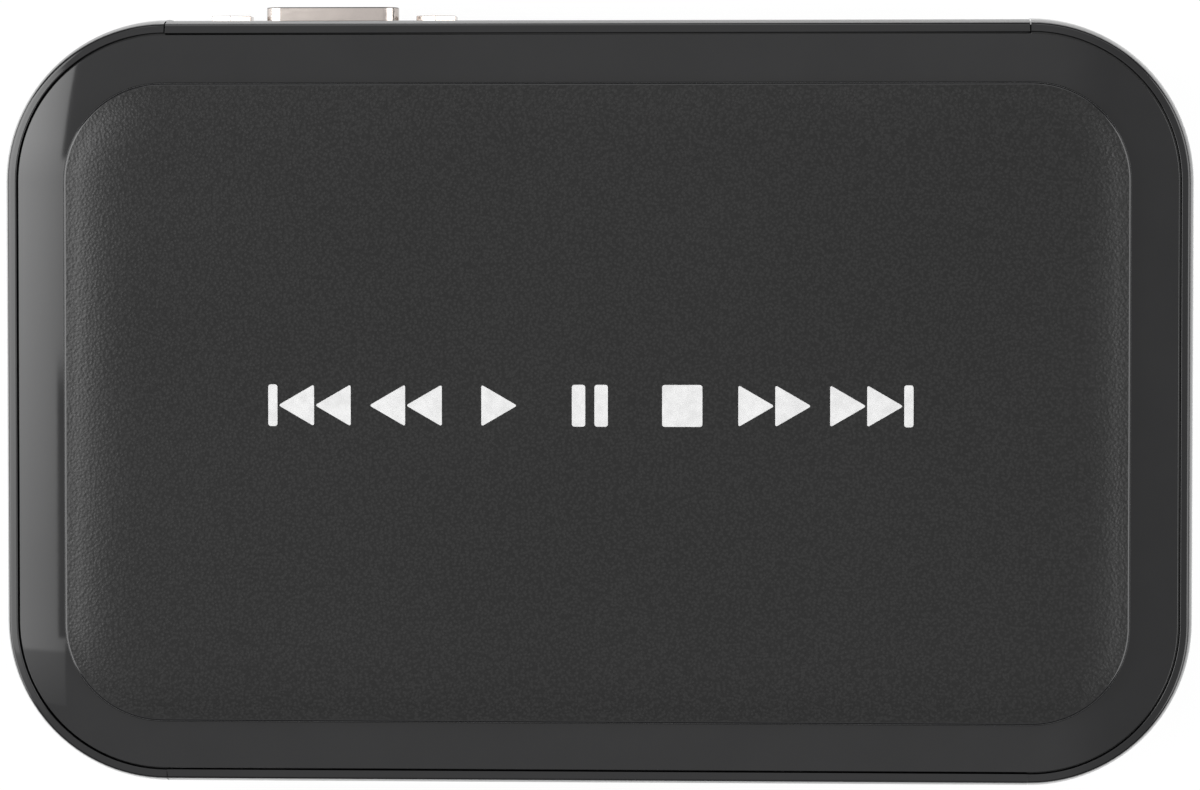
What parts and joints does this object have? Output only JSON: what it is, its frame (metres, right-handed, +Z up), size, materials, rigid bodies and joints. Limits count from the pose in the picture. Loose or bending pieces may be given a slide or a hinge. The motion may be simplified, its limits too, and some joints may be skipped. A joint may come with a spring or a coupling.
{
  "type": "desktop media player",
  "caption": "Small desktop media player box with a raised matt top panel, rear video, sound, USB and power sockets, a front card slot, USB socket and standby button.",
  "frame": {"origin": "on the table, at the centre of the whole outline in plan", "axes": "+X to the right along the long side, +Y towards the rear sockets, +Z up; the front faces -Y"},
  "size_m": [0.1436, 0.0944, 0.027],
  "materials": {
    "gloss_shell": "gloss moulded black",
    "cover_plastic": "fine matt texture with a gloss band",
    "dark_plastic": "satin moulded black",
    "smoked_window": "polished, lets infrared through",
    "clear_plastic": "clear moulded",
    "rubber": "matt black rubber",
    "nickel": "nickel-plated steel",
    "zinc_steel": "zinc-plated steel",
    "board_green": "green solder mask on glass epoxy",
    "socket_blue": "satin moulded blue",
    "chip_black": "matt epoxy",
    "silicone": "soft grey-blue pad",
    "aluminium": "bare extruded",
    "ferrite": "matt ferrite"
  },
  "bodies": {
    "player": {"bottom_case": "gloss_shell", "top_cover": "cover_plastic", "rear_panel": "gloss_shell", "front_panel": "gloss_shell", "rubber_foot_front_left": "rubber", "rubber_foot_front_right": "rubber", "rubber_foot_rear_left": "rubber", "rubber_foot_rear_right": "rubber", "case_screw_front_left": "zinc_steel", "case_screw_front_right": "zinc_steel", "case_screw_rear_left": "zinc_steel", "case_screw_rear_right": "zinc_steel", "board_screw_front_left": "zinc_steel", "board_screw_front_right": "zinc_steel", "board_screw_rear_left": "zinc_steel", "board_screw_rear_right": "zinc_steel", "main_board": "board_green", "vga_shell": "nickel", "vga_insulator": "socket_blue", "vga_jackscrew_left": "nickel", "vga_jackscrew_right": "nickel", "hdmi_shell": "nickel", "hdmi_insulator": "dark_plastic", "av_jack": "dark_plastic", "dc_jack": "dark_plastic", "dc_centre_pin": "nickel", "usb_shell_front": "nickel", "usb_shell_rear": "nickel", "usb_tongue_front": "dark_plastic", "usb_tongue_rear": "dark_plastic", "sd_cover": "zinc_steel", "sd_base": "dark_plastic", "ir_window": "smoked_window", "ir_receiver": "chip_black", "led_light_pipe": "clear_plastic", "status_led": "clear_plastic", "tact_switch": "chip_black", "media_processor": "chip_black", "thermal_pad": "silicone", "heat_sink": "aluminium", "memory_chip_left": "chip_black", "memory_chip_right": "chip_black", "flash_chip": "chip_black", "audio_chip": "chip_black", "regulator": "chip_black", "inductor_front": "ferrite", "inductor_rear": "ferrite", "capacitor_left": "aluminium", "capacitor_right": "aluminium", "crystal": "zinc_steel"},
    "button": {"power_button": "gloss_shell"},
    "plunger": {"switch_plunger": "dark_plastic"}
  },
  "joints": [
    {"name": "button_press", "type": "slide", "parent": "player", "child": "button", "axis": [0, 1, 0], "range_m": [0, 0.0003], "stiffness_N_per_m": 600},
    {"name": "plunger_press", "type": "slide", "parent": "player", "child": "plunger", "axis": [0, 1, 0], "range_m": [0, 0.0003]}
  ],
  "couplings": [
    {"joint": "plunger_press", "follows": "button_press", "ratio": 1}
  ]
}
